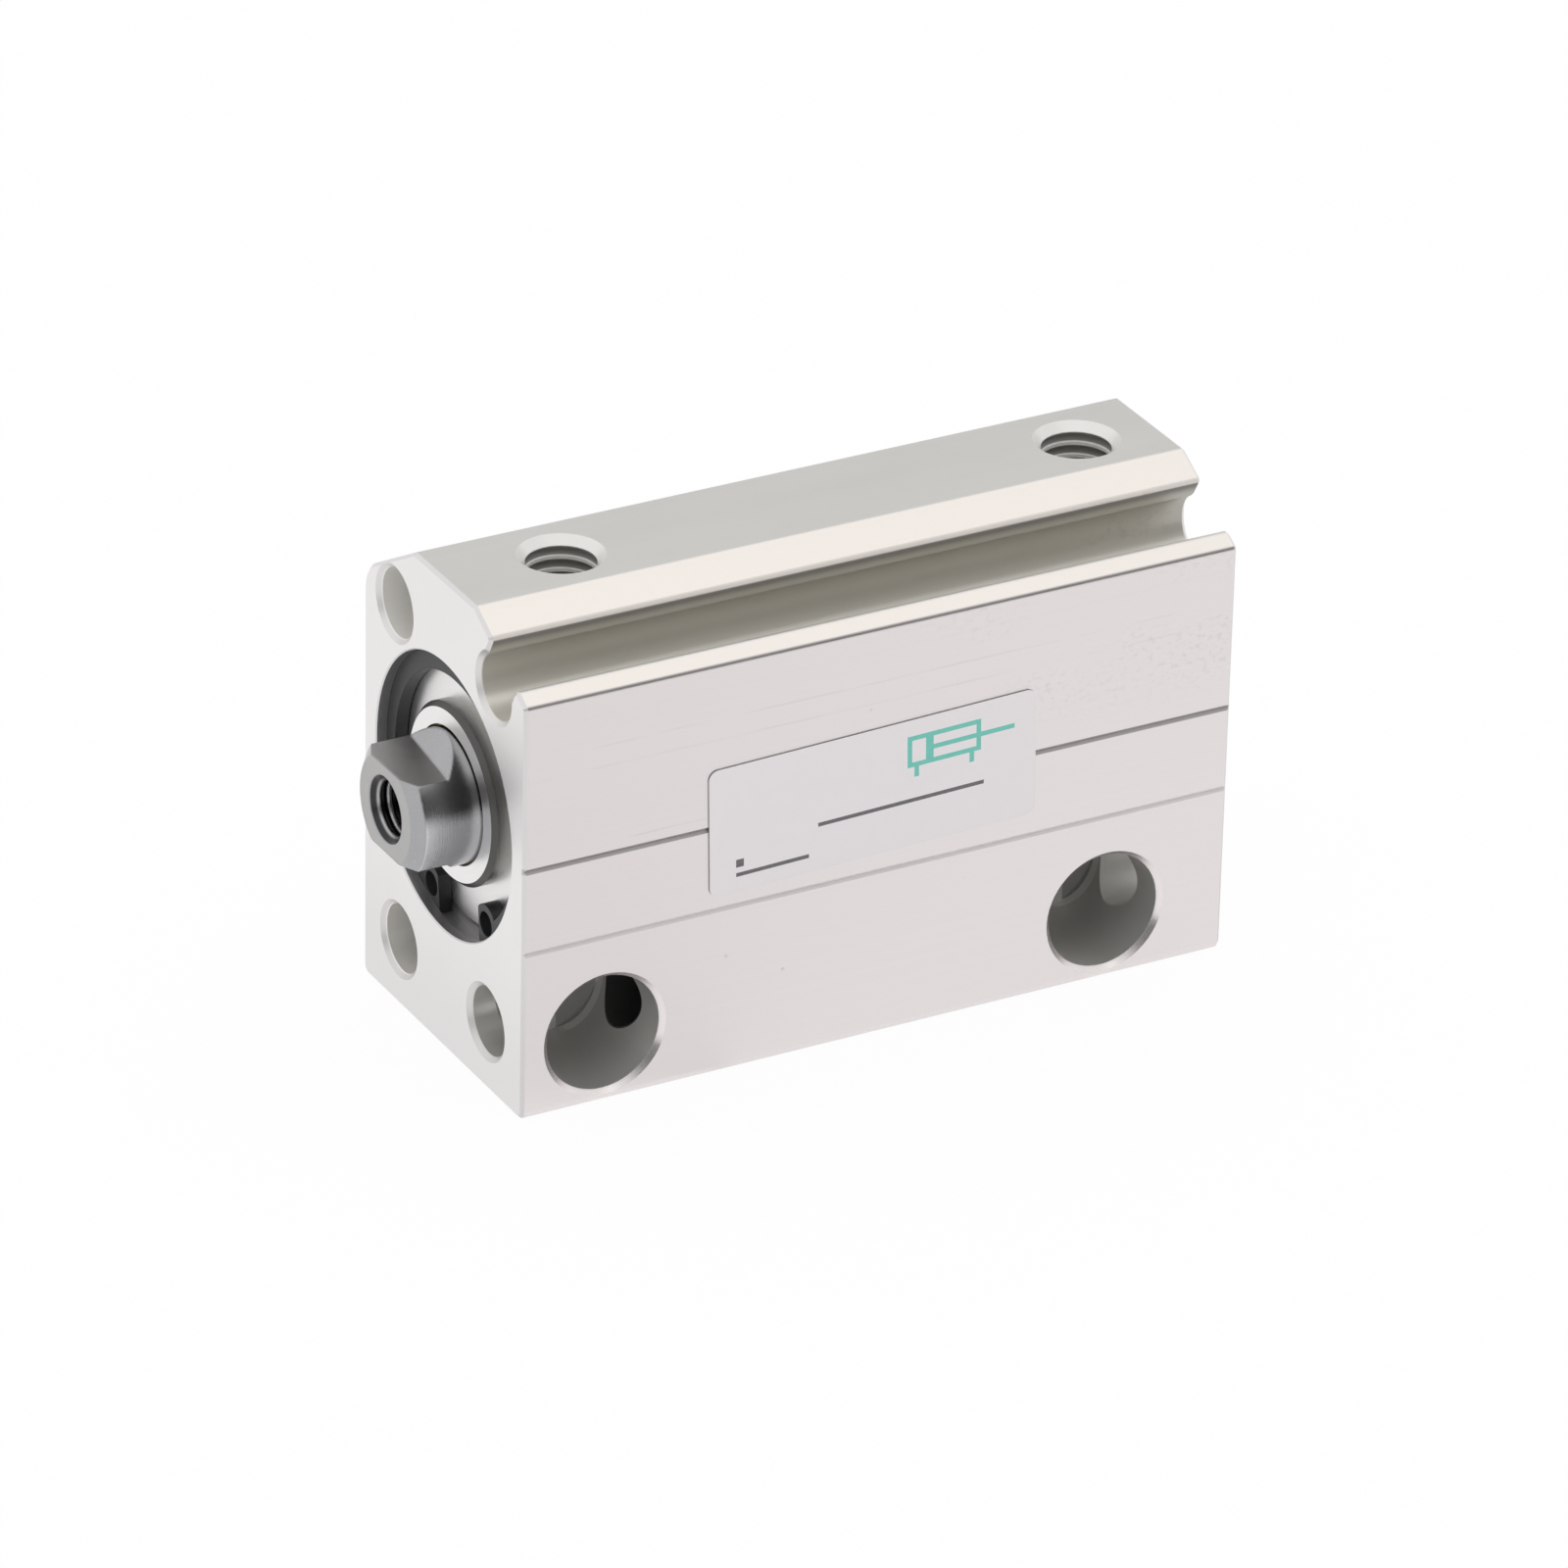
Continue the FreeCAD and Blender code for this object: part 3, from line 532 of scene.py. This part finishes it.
    def execute(self, context):
        skin = settings().body
        paint = Finish("anodised_aluminium")
        place = paint.place()
        x, y, z = paint.split(place)
        nx, ny, nz = paint.split(paint.facing())
        at = SimpleNamespace(place=place, x=x, y=y, z=z, nx=nx, ny=ny, nz=nz)
        face = self.mark_faces(paint, at)
        hole = self.mark_holes(paint, at, face)
        slot = self.mark_slot(paint, at, face)
        wear = self.mark_wear(paint, at)
        upper_line = self.mark_line(paint, at, UPPER_LINE_DROP)
        lower_line = self.mark_line(paint, at, LOWER_LINE_DROP)
        top = paint.ease(nz, *self.TOP_FACING)
        slope = paint.ease(nz, *self.SLOPE_FACING) * (1 - top) * (1 - hole.mouth)

        fine = 1 / skin.line_spacing
        lines = paint.noise(
            paint.stretch(place, (14.0, fine, fine)), scale=1.0, detail=4.0, rough=0.6)
        grain = paint.noise(place, scale=9000.0, detail=2.0)
        cloud = paint.noise(paint.stretch(place, (90.0, 200.0, 200.0)), scale=1.0, detail=3.0)
        drawn = face.open * (lines - 0.5)

        # Painted shade in the port thread roots
        thread = paint.mix(hole.crest, tuple(skin.root), tuple(skin.crest))
        # Painted shade: the top darker than the sides and slopes of the same anodised skin
        tone = paint.mix(top, tuple(skin.side), tuple(skin.top))
        for mask, next_tone in (
                (slope, tuple(skin.slope)),
                (face.end, tuple(skin.end)),
                (hole.drilled, tuple(skin.drilled)),
                # Painted shade on the counterbore walls
                (hole.pocket, tuple(skin.pocket)),
                (hole.mouth * (1 - top), tuple(skin.mouth)),
                (hole.tapped, thread),
                # Painted shade in the bore and its mouth
                (hole.bore, tuple(skin.bore)),
                # Painted shade inside the slot
                (slot.inner, tuple(skin.slot)),
                (slot.edge, tuple(skin.slope))):
            tone = paint.mix(mask, tone, next_tone)

        outer = face.open * (1 - slot.inner)
        # Painted shade: the bolt holes darker deeper in from the ends
        deep = hole.drilled * paint.ease(face.from_end, *self.DARK_IN_HOLE) * self.HOLE_DARK
        # Painted shade: the bolt hole on the near side darker than the others
        near = hole.drilled * paint.fade(y, -1 * MM, 1 * MM) * self.NEAR_HOLE_DARK
        marks = wear.smudge * skin.mottle
        # Painted shade in the upper groove along the near side
        edges = upper_line * self.LINE_DARK
        for factor in (
                1 + drawn * 0.05 + (cloud - 0.5) * 0.05 + (grain - 0.5) * 0.04,
                1 - wear.pits * outer * skin.speck,
                # Handling marks and rubbed lines are wear; the strip's edge line is painted shade
                1 - marks - wear.rubbed * self.RUBBED_DARK - face.ridge * self.RIDGE_DARK,
                # Painted shade in the slot and under its upper lip
                1 - slot.shade - slot.lip * self.LIP_DARK,
                # Painted shade deep in the bolt holes and in the through holes behind the
                # counterbores
                1 - deep - hole.through * self.THROUGH_DARK,
                # Painted shade in the upper groove, on the end bevels and low on the ends
                1 - edges - face.bevel * self.BEVEL_DARK - face.low_end * self.LOW_END_DARK,
                # Painted shade on the near bolt hole
                1 - near):
            tone = paint.shade(tone, factor)

        metal = self.SKIN_METAL - hole.tapped * self.THREAD_LOSS
        metal = metal - (lower_line + slot.inner) * self.GROOVE_LOSS
        metal = metal - (hole.drilled + hole.pocket) * self.HOLE_LOSS
        metal = metal - slot.edge * (1 - slot.inner) * self.LIP_LOSS
        upper_half = paint.ease(z, BORE_HEIGHT, BODY_HIGH.z - 8 * MM)
        gloss = skin.roughness + drawn * 0.10 + (cloud - 0.5) * 0.08
        paint.hand_to(
            ["cylinder_body"],
            Base_Color=tone,
            Metallic=metal - hole.drilled * upper_half * self.UPPER_HOLE_LOSS,
            Roughness=gloss - hole.rim * 0.15 + slot.edge * 0.25,
            Normal=paint.bump(drawn + 0.35 * grain, skin.line_depth, strength=0.5))
        return {"FINISHED"}


class CYLINDER_OT_finish_fittings(bpy.types.Operator):
    """Turned cover and plate, retaining ring, bush, washers, piston, magnet and screw"""

    bl_idname = "cylinder.finish_fittings"
    bl_label = "Finish Fittings"

    CHAMFER_DARK = 0.8
    TOOL_MARK_DEPTH = 0.004 * MM
    SKIN_DEPTH = 0.005 * MM
    EASED_EDGE = 0.10 * MM

    def turned(self, name, base, roughness, nodes, side=None):
        """Metal with tool marks around the bore axis, and painted shade on a hub's side and its
        chamfer.
        """
        paint = Finish(name, Metallic=1.0)
        x, radius = from_bore(paint)
        spacing = settings().fitting.turning
        marks = paint.noise(
            paint.join(x / spacing, radius / spacing, 0.0), scale=1.0, detail=3.0, rough=0.6)
        cloud = paint.noise(paint.place(), scale=300.0, detail=3.0)
        tone = tuple(base)
        if side:
            nx, _, _ = paint.split(paint.facing())
            # Painted shade: the hub's side darker than its face, and its chamfer darker still
            hub = paint.fade(abs(nx), 0.80, 0.92)
            hub = hub * paint.fade(x, COVER_LOW.x + 1.1 * MM, COVER_LOW.x + 1.2 * MM)
            tone = paint.mix(hub, tone, tuple(side))
            chamfer = hub * paint.ease(abs(nx), 0.4, 0.6)
            tone = paint.shade(tone, 1 - chamfer * self.CHAMFER_DARK)
        tone = paint.shade(tone, 1 + (marks - 0.5) * 0.14 + (cloud - 0.5) * 0.10)
        paint.hand_to(
            nodes,
            Base_Color=tone,
            Roughness=roughness + (marks - 0.5) * 0.14 + (cloud - 0.5) * 0.08,
            Normal=paint.bump(marks, self.TOOL_MARK_DEPTH, strength=0.5))

    def dull(self, name, base, roughness, nodes, metal):
        """Coated or sintered metal with a fine mottled skin."""
        paint = Finish(name, Metallic=metal)
        place = paint.place()
        grain = paint.noise(place, scale=5200.0, detail=3.0)
        cloud = paint.noise(place, scale=420.0, detail=4.0)
        tone = paint.shade(tuple(base), 1 + (cloud - 0.5) * 0.7 + (grain - 0.5) * 0.3)
        paint.hand_to(
            nodes,
            Base_Color=tone,
            Roughness=roughness + (cloud - 0.5) * 0.20,
            Normal=paint.bump(grain, self.SKIN_DEPTH, strength=0.5, edge=self.EASED_EDGE))

    def execute(self, context):
        metal = settings().fitting
        self.turned("turned_cover", metal.cover, 0.34, ["rod_cover"], metal.hub_side)
        self.turned("turned_plate", metal.cover, 0.34, ["rear_plate"])
        self.turned("chromated_piston", metal.piston, 0.38, ["piston"])
        self.turned("plated_steel", metal.zinc, 0.36, ["seal_retainer", "magnet_washer"])
        self.dull("phosphated_spring_steel", metal.ring, 0.42, ["retaining_ring"], 0.6)
        self.dull("sintered_bronze", metal.bronze, 0.45, ["rod_bush"], 1.0)
        self.dull("sintered_magnet", metal.magnet, 0.55, ["magnet_ring"], 0.5)
        self.dull("black_oxide", metal.oxide, 0.38, ["piston_screw"], 0.8)
        return {"FINISHED"}


class CYLINDER_OT_finish_rod(bpy.types.Operator):
    """Ground rod with faced end, milled flats and small handling marks"""

    bl_idname = "cylinder.finish_rod"
    bl_label = "Finish Rod"

    FLAT_LENGTH = 3.3 * MM, 3.4 * MM
    THREAD_ROOT = 2.08 * MM, 2.16 * MM
    THREAD_FLANK = 1.66 * MM, 1.80 * MM
    MARK_DEPTH = 0.005 * MM
    EASED_EDGE = 0.25 * MM

    def execute(self, context):
        steel = settings().rod
        paint = Finish("ground_rod_steel")
        place = paint.place()
        x, radius = from_bore(paint)
        nx, ny, nz = paint.split(paint.facing())
        from_end = x - ROD_LOW.x
        end = paint.ease(abs(nx), 0.85, 0.97) * paint.fade(from_end, 0.1 * MM, 0.2 * MM)
        flat = paint.ease(abs(nz), 0.985, 0.998) * paint.fade(from_end, *self.FLAT_LENGTH)
        flat = flat * paint.fade(abs(ny), 0.02, 0.06)
        tapped = paint.fade(radius, *self.THREAD_ROOT)
        tapped = tapped * paint.ease(from_end, 0.03 * MM, 0.08 * MM)
        # Painted light: the rod's underside lighter, a little darker and less metallic away from
        # the end
        under = paint.fade(nz, 0.05, 0.32) * paint.fade(abs(nx), 0.2, 0.4)
        behind_end = under * paint.ease(from_end, 0.6 * MM, 2.2 * MM)

        rings = paint.join(x / steel.grinding, radius / steel.grinding, 0.0)
        around = paint.noise(rings, scale=1.0, detail=3.0, rough=0.6)
        cloud = paint.noise(place, scale=380.0, detail=3.0)
        milled = paint.noise(
            paint.stretch(place, (9000.0, 900.0, 900.0)), scale=1.0, detail=3.0)
        fine_lines = paint.noise(
            paint.stretch(place, (900.0, 7000.0, 2600.0)), scale=1.0, detail=2.0)
        spread = paint.noise(place, scale=260.0, detail=1.0)
        scratch = paint.ease(fine_lines, 0.69, 0.74) * paint.ease(spread, 0.50, 0.60)
        marks = (1 - flat) * (around - 0.5) + flat * (milled - 0.5)

        # Painted light on the rod's underside
        tone = paint.mix(under, tuple(steel.steel), tuple(steel.under))
        tone = paint.shade(tone, 1 - behind_end * 0.1)
        tone = paint.mix(end, tone, tuple(steel.end))
        tone = paint.mix(flat, tone, tuple(steel.flats))
        tone = paint.shade(tone, 1 + marks * 0.16 + (cloud - 0.5) * 0.22)
        tone = paint.mix(scratch * 0.45, tone, tuple(steel.scratch))
        # Painted shade in the rod end's thread roots
        thread = paint.mix(
            paint.ease(radius, *self.THREAD_FLANK), tuple(steel.crest), tuple(steel.root))
        tone = paint.mix(tapped, tone, thread)
        gloss = steel.roughness + marks * 0.10 + (cloud - 0.5) * 0.10
        relief = marks - 0.5 * scratch
        paint.hand_to(
            ["piston_rod"],
            Base_Color=tone,
            Metallic=1 - behind_end * 0.6,
            Roughness=gloss + end * 0.08 + flat * 0.16,
            Normal=paint.bump(relief, self.MARK_DEPTH, strength=0.6, edge=self.EASED_EDGE))
        return {"FINISHED"}


class CYLINDER_OT_finish_seals(bpy.types.Operator):
    """Rubber seals and bumpers and the plastic guide ring"""

    bl_idname = "cylinder.finish_seals"
    bl_label = "Finish Seals"

    SKIN_DEPTH = 0.006 * MM

    def moulded(self, name, base, roughness, nodes):
        """Rubber or plastic with a faint bloom and a fine moulded skin."""
        paint = Finish(name, Metallic=0.0)
        place = paint.place()
        bloom = paint.noise(place, scale=500.0, detail=4.0)
        grain = paint.noise(place, scale=6500.0, detail=2.0)
        tone = paint.shade(tuple(base), 1 + (bloom - 0.5) * 0.8)
        paint.hand_to(
            nodes,
            Base_Color=tone,
            Roughness=roughness + (bloom - 0.5) * 0.25,
            Normal=paint.bump(grain, self.SKIN_DEPTH, strength=0.4))

    def execute(self, context):
        soft = settings().seal
        seals = ["rod_seal", "cover_o_ring", "rear_o_ring", "rod_o_ring", "piston_seal"]
        self.moulded("nitrile_rubber", soft.nitrile, 0.48, seals)
        self.moulded("urethane_rubber", soft.urethane, 0.42, ["front_bumper", "rear_bumper"])
        self.moulded("guide_plastic", soft.guide, 0.40, ["wear_ring"])
        return {"FINISHED"}


class CYLINDER_OT_print_label(bpy.types.Operator):
    """Satin film with a printed circuit sign and the rules of two blank fields"""

    bl_idname = "cylinder.print_label"
    bl_label = "Print Label"

    FILM_DEPTH = 0.006 * MM

    def execute(self, context):
        printed = settings().label
        paint = Finish("label_film", Metallic=0.0)
        place = paint.place()
        x, _, z = paint.split(place)
        _, ny, _ = paint.split(paint.facing())
        middle = (LABEL_LOW + LABEL_HIGH) / 2
        dx = x - middle.x
        dz = z - middle.z
        across = dx * math.cos(printed.tilt) + dz * math.sin(printed.tilt)
        height = dz * math.cos(printed.tilt) - dx * math.sin(printed.tilt)
        stroke = printed.stroke / MM

        def bar(left, low, right, high):
            """Mask of a printed rectangle, in millimetres from the label's middle."""
            wide = abs(across - (left + right) / 2 * MM) < (right - left) / 2 * MM
            tall = abs(height - (low + high) / 2 * MM) < (high - low) / 2 * MM
            return wide * tall

        def frame_of(left, low, right, high):
            """Mask of a printed rectangular outline."""
            inner = bar(left + stroke, low + stroke, right - stroke, high - stroke)
            return bar(left, low, right, high) - inner

        sign = frame_of(*SIGN_BARREL)
        for part in SIGN_PARTS:
            sign = sign + bar(*part)
        rule = bar(*FIRST_RULE)
        for part in OTHER_RULES:
            rule = rule + bar(*part)

        ink = paint.noise(place, scale=7000.0, detail=2.0)
        fibre = paint.noise(place, scale=900.0, detail=4.0)
        # Painted shade on the film's cut edge
        rim = paint.ease(1 - abs(ny), 0.25, 0.5)
        tone = paint.shade(tuple(printed.film), 1 + (fibre - 0.5) * 0.03)
        front = 1 - paint.ease(ny, -0.95, -0.85)
        for mask, print_tone in ((sign, printed.sign), (rule, printed.rule)):
            cover = paint.ease(mask, 0.4, 0.6) * front * (INK_COVER + INK_GRAIN * ink)
            tone = paint.mix(cover, tone, tuple(print_tone))
        tone = paint.mix(rim, tone, tuple(printed.edge))
        paint.hand_to(
            ["label"],
            Base_Color=tone,
            Roughness=0.38 + (fibre - 0.5) * 0.16,
            Normal=paint.bump(fibre, self.FILM_DEPTH, strength=0.4))
        return {"FINISHED"}


class CYLINDER_OT_set_stage(bpy.types.Operator):
    """Camera at the photograph's angle, soft light, reflection cards and a pale floor"""

    bl_idname = "cylinder.set_stage"
    bl_label = "Set Stage"

    def panel(self, name, corners, material):
        """A flat stage piece through four corners."""
        mesh = bpy.data.meshes.new(name)
        mesh.from_pydata(corners, [], [tuple(range(len(corners)))])
        mesh.materials.append(material)
        piece = bpy.data.objects.new(name, mesh)
        bpy.context.scene.collection.objects.link(piece)
        return piece

    def card(self, name, centre, size, tone):
        """An upright card that only reflections see, turned to the object."""
        paint = Finish(name)
        glow = paint.node("ShaderNodeEmission", {}, {"Color": (tone, tone, tone, 1.0)})
        plug(paint.surface, glow)
        centre = Vector(centre)
        out = Vector((centre.x, centre.y, 0)).normalized()
        width, height = size
        along = Vector((-out.y, out.x, 0)) * width / 2
        rise = Vector((0, 0, height / 2))
        left, right = centre - along, centre + along
        corners = [left - rise, right - rise, right + rise, left + rise]
        piece = self.panel(name, corners, paint.material)
        piece.visible_camera = False
        piece.visible_diffuse = False
        piece.visible_transmission = False
        piece.visible_shadow = False

    def aim_camera(self, scene, studio):
        """Sets the camera that the scene is seen through."""
        camera = bpy.data.objects.new("camera", bpy.data.cameras.new("camera"))
        scene.collection.objects.link(camera)
        ahead = Vector(studio.aim).normalized()
        right = ahead.cross(Vector((0, 0, 1))).normalized()
        up = right.cross(ahead)
        turn = Matrix((right, up, -ahead)).transposed().to_4x4()
        turn = turn @ Matrix.Rotation(studio.roll, 4, "Z")
        camera.matrix_world = Matrix.Translation(studio.camera) @ turn
        camera.data.lens = studio.lens
        camera.data.sensor_width = SENSOR_WIDTH
        camera.data.clip_start = NEAR_CLIP
        camera.data.clip_end = FAR_CLIP
        scene.camera = camera

    def light(self, scene, studio):
        """An even white dome and a large soft panel overhead."""
        world = bpy.data.worlds.new("white_dome")
        scene.world = world
        world.use_nodes = True
        sky = Nodes(world.node_tree)
        ground = world.node_tree.nodes["Background"]
        ground.inputs["Color"].default_value = (1.0, 1.0, 1.0, 1.0)
        plug(ground.inputs["Strength"], studio.dome + sky.plain_view() * (1.0 - studio.dome))

        lamp = bpy.data.lights.new("softbox", "AREA")
        lamp.shape = "RECTANGLE"
        lamp.size, lamp.size_y = SOFTBOX_SIZE
        lamp.energy = studio.softbox * math.pi * lamp.size * lamp.size_y
        softbox = bpy.data.objects.new("softbox", lamp)
        softbox.location = SOFTBOX_PLACE
        softbox.rotation_euler = softbox.location.to_track_quat("Z", "Y").to_euler()
        scene.collection.objects.link(softbox)

    def lay_floor(self, studio):
        """A pale floor that is seen almost white and still takes the shadow."""
        paint = Finish("pale_floor", Roughness=0.9)
        cloud = paint.noise(paint.place(), scale=3.0, detail=2.0)
        paint.hand_to([], Base_Color=paint.shade(tuple(studio.floor), 1 + (cloud - 0.5) * 0.01))
        glow = paint.node("ShaderNodeEmission", {}, {})
        matt = Wire(paint.shader.outputs[0])
        white = paint.plain_view() * studio.floor_glow
        plug(paint.surface, paint.node("ShaderNodeMixShader", {}, {0: white, 1: matt, 2: glow}))
        half = studio.floor_size / 2
        ring = ((-half, -half), (half, -half), (half, half), (-half, half))
        corners = [(x, y, FLOOR_LEVEL) for x, y in ring]
        self.panel("floor", corners, paint.material)

    def execute(self, context):
        studio = settings().studio
        scene = context.scene
        scene.view_settings.view_transform = "Standard"
        self.aim_camera(scene, studio)
        self.light(scene, studio)
        self.lay_floor(studio)
        self.card("back_card", BACK_CARD_PLACE, BACK_CARD_SIZE, studio.back_card)
        self.card("front_card", FRONT_CARD_PLACE, FRONT_CARD_SIZE, studio.front_card)
        return {"FINISHED"}


class CYLINDER_PT_panel(bpy.types.Panel):
    bl_idname = "CYLINDER_PT_panel"
    bl_label = "Air Cylinder"
    bl_space_type = "VIEW_3D"
    bl_region_type = "UI"
    bl_category = "Air Cylinder"

    def draw(self, context):
        sections = (
            ("body", "cylinder.finish_body"),
            ("fitting", "cylinder.finish_fittings"),
            ("rod", "cylinder.finish_rod"),
            ("seal", "cylinder.finish_seals"),
            ("label", "cylinder.print_label"),
            ("studio", "cylinder.set_stage"),
        )
        for name, operator in sections:
            box = self.layout.box()
            group = getattr(settings(), name)
            for key in group.__annotations__:
                box.prop(group, key)
            box.operator(operator)


CLASSES = (
    BodyFinish, FittingFinish, RodFinish, SealFinish, LabelPrint, Studio, CylinderSettings,
    CYLINDER_OT_finish_body, CYLINDER_OT_finish_fittings, CYLINDER_OT_finish_rod,
    CYLINDER_OT_finish_seals, CYLINDER_OT_print_label, CYLINDER_OT_set_stage, CYLINDER_PT_panel,
)


def register():
    for cls in CLASSES:
        bpy.utils.register_class(cls)
    bpy.types.Scene.air_cylinder = PointerProperty(type=CylinderSettings)


def unregister():
    del bpy.types.Scene.air_cylinder
    for cls in reversed(CLASSES):
        bpy.utils.unregister_class(cls)


def main():
    register()
    bpy.ops.cylinder.finish_body()
    bpy.ops.cylinder.finish_fittings()
    bpy.ops.cylinder.finish_rod()
    bpy.ops.cylinder.finish_seals()
    bpy.ops.cylinder.print_label()
    bpy.ops.cylinder.set_stage()


if __name__ == "__main__":
    main()
